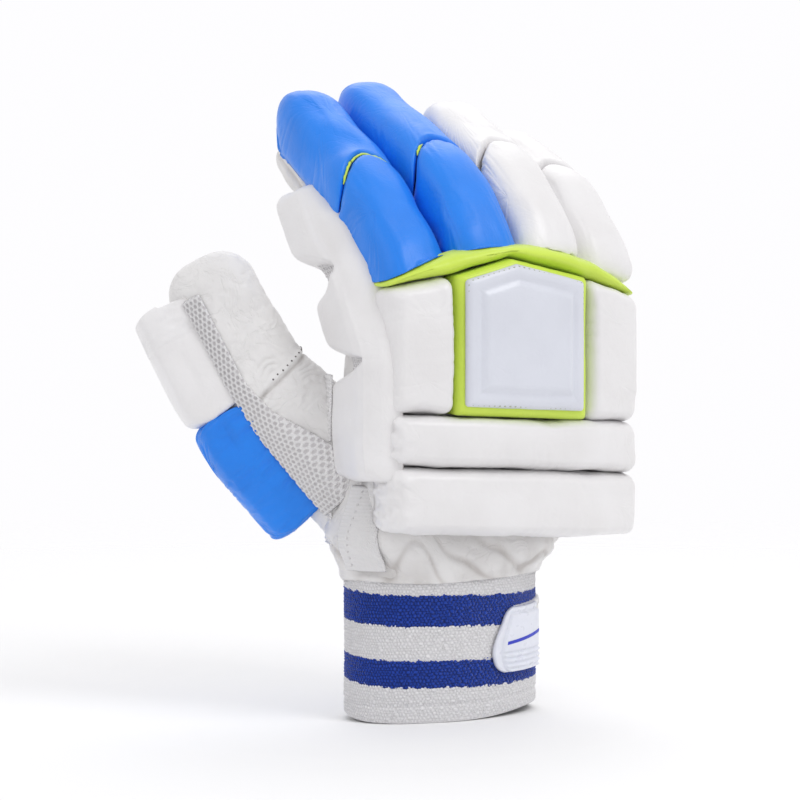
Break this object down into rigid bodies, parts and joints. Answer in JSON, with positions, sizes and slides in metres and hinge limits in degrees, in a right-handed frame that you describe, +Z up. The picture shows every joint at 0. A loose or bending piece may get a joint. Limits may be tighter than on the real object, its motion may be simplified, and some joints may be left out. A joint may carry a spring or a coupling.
{
  "type": "cricket batting glove",
  "caption": "Right-hand padded batting glove, fingers up, with finger rolls, thumb pads, hollow stalls, palm and a towelling wrist cuff with a strap.",
  "frame": {"origin": "middle of the whole outline, on the floor under the cuff's rim", "axes": "+Z up along the hand from the cuff to the fingers, back of the hand towards -Y, palm towards +Y, thumb side towards -X"},
  "size_m": [0.1956, 0.1186, 0.2726],
  "materials": {
    "leather": "soft matt",
    "pad_white": "satin",
    "blue": "satin",
    "lime": "satin",
    "silver": "satin",
    "towelling": "ribbed, matt",
    "knit": "mesh, matt",
    "plastic": "moulded, clear white"
  },
  "bodies": {
    "root": {"wrist_cuff": "towelling", "strap_band": "towelling", "strap_badge": "plastic", "thumb_mesh": "knit", "side_knit_panel": "knit", "web_knit_strip": "knit", "badge_surround": "lime", "knuckle_band": "lime", "badge_panel": "silver", "palm_shell": "leather", "back_panel": "leather", "thumb_stall": "leather", "wrist_bar_lower": "pad_white", "wrist_bar_upper": "pad_white", "back_pad_thumb_side": "pad_white", "back_pad_outer": "pad_white", "thumb_tip_roll": "pad_white", "thumb_base_roll": "blue", "index_side_pad_lower": "pad_white", "index_side_pad_middle": "pad_white", "index_side_pad_upper": "pad_white", "index_stall": "leather", "index_base_roll": "blue", "index_tip_roll": "blue", "middle_stall": "leather", "middle_base_roll": "blue", "middle_tip_roll": "blue", "ring_stall": "leather", "ring_base_roll": "pad_white", "ring_tip_roll": "pad_white", "little_stall": "leather", "little_base_roll": "pad_white", "little_tip_roll": "pad_white"}
  },
  "joints": []
}
